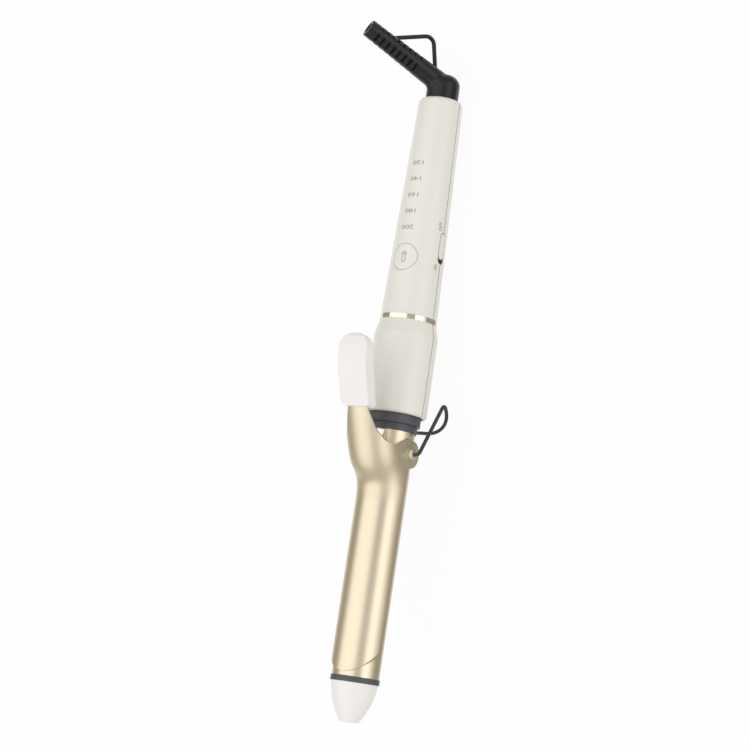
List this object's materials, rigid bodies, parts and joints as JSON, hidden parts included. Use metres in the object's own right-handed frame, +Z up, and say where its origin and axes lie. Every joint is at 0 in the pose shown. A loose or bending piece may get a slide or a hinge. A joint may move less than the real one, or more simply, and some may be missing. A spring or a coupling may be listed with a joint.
{
  "type": "curling iron",
  "caption": "Curling iron with a heated barrel, sprung clamp with thumb rest, fold-out wire stand, round handle with button and slide switch, and swivelling cord guard with hang loop.",
  "frame": {"origin": "centre of the iron's bounding box, on the table it rests on with its stand and handle end", "axes": "+X along the iron from the tip towards the cord end, +Z up towards the thumb rest, -Y the side with the slide switch"},
  "size_m": [0.387, 0.0534, 0.0812],
  "materials": {
    "barrel_tube": "champagne satin anodised",
    "tip_ring": "satin",
    "tip_cap": "satin",
    "heater_plate": "fired",
    "heat_spreader_upper": "extruded",
    "heat_spreader_lower": "extruded",
    "pivot_bracket": "plain",
    "pivot_bushes": "polished gold",
    "clamp": "champagne satin plated",
    "thumb_rest": "satin",
    "clamp_spring": "bright spring steel",
    "spring_rivet": "plain",
    "stand_wire": "dark coated wire",
    "heat_collar": "satin",
    "handle_upper_shell": "soft gloss ivory",
    "handle_lower_shell": "soft gloss ivory",
    "handle_screws": "zinc plated",
    "trim_ring": "polished gold",
    "temperature_button": "soft gloss ivory",
    "tact_plunger": "moulded",
    "tact_switch": "moulded",
    "control_board": "solder mask",
    "power_chip": "moulded",
    "indicator_lights": "clear lens",
    "light_guide": "milky",
    "slide_switch_body": "moulded",
    "switch_slider": "soft gloss ivory",
    "heater_leads": "silicone sleeve",
    "thermal_fuse": "plain",
    "thermistor": "glass bead",
    "swivel_socket": "moulded",
    "contact_springs": "spring brass",
    "swivel_stem": "moulded",
    "slip_rings": "turned",
    "cord_guard": "matt black",
    "hang_loop": "matt black"
  },
  "bodies": {
    "iron": {"barrel_tube": "barrel_tube", "tip_ring": "tip_ring", "tip_cap": "tip_cap", "heater_plate": "heater_plate", "heat_spreader_upper": "heat_spreader_upper", "heat_spreader_lower": "heat_spreader_lower", "pivot_bracket": "pivot_bracket", "pivot_bushes": "pivot_bushes", "clamp_spring": "clamp_spring", "spring_rivet": "spring_rivet", "heat_collar": "heat_collar", "handle_upper_shell": "handle_upper_shell", "handle_lower_shell": "handle_lower_shell", "handle_screws": "handle_screws", "trim_ring": "trim_ring", "tact_switch": "tact_switch", "control_board": "control_board", "power_chip": "power_chip", "indicator_lights": "indicator_lights", "light_guide": "light_guide", "slide_switch_body": "slide_switch_body", "heater_leads": "heater_leads", "thermal_fuse": "thermal_fuse", "thermistor": "thermistor", "swivel_socket": "swivel_socket", "contact_springs": "contact_springs"},
    "clamp_lever": {"clamp": "clamp", "thumb_rest": "thumb_rest"},
    "stand": {"stand_wire": "stand_wire"},
    "button": {"temperature_button": "temperature_button", "tact_plunger": "tact_plunger"},
    "switch": {"switch_slider": "switch_slider"},
    "swivel": {"cord_guard": "cord_guard", "swivel_stem": "swivel_stem", "slip_rings": "slip_rings", "hang_loop": "hang_loop"}
  },
  "joints": [
    {"name": "clamp_hinge", "type": "hinge", "parent": "iron", "child": "clamp_lever", "pos_m": [-0.04666, -0.00669, 0.03543], "axis": [0, 1, 0], "range_deg": [0, 24], "stiffness_Nm_per_rad": 0.5, "springref_deg": -11.46, "deforming": ["clamp_spring"]},
    {"name": "stand_hinge", "type": "hinge", "parent": "iron", "child": "stand", "pos_m": [-0.04666, -0.00669, 0.03543], "axis": [0, 1, 0], "range_deg": [-27, 86]},
    {"name": "button_press", "type": "slide", "parent": "iron", "child": "button", "axis": [-0.1158, 0, -0.9933], "range_m": [0, 0.0006], "stiffness_N_per_m": 400, "springref_m": -0.001},
    {"name": "switch_slide", "type": "slide", "parent": "iron", "child": "switch", "axis": [-0.9933, 0, 0.1158], "range_m": [0, 0.0024]},
    {"name": "cord_swivel", "type": "hinge", "parent": "iron", "child": "swivel", "pos_m": [0.15398, -0.00669, 0.01204], "axis": [0.9933, 0, -0.1158], "continuous": true}
  ]
}
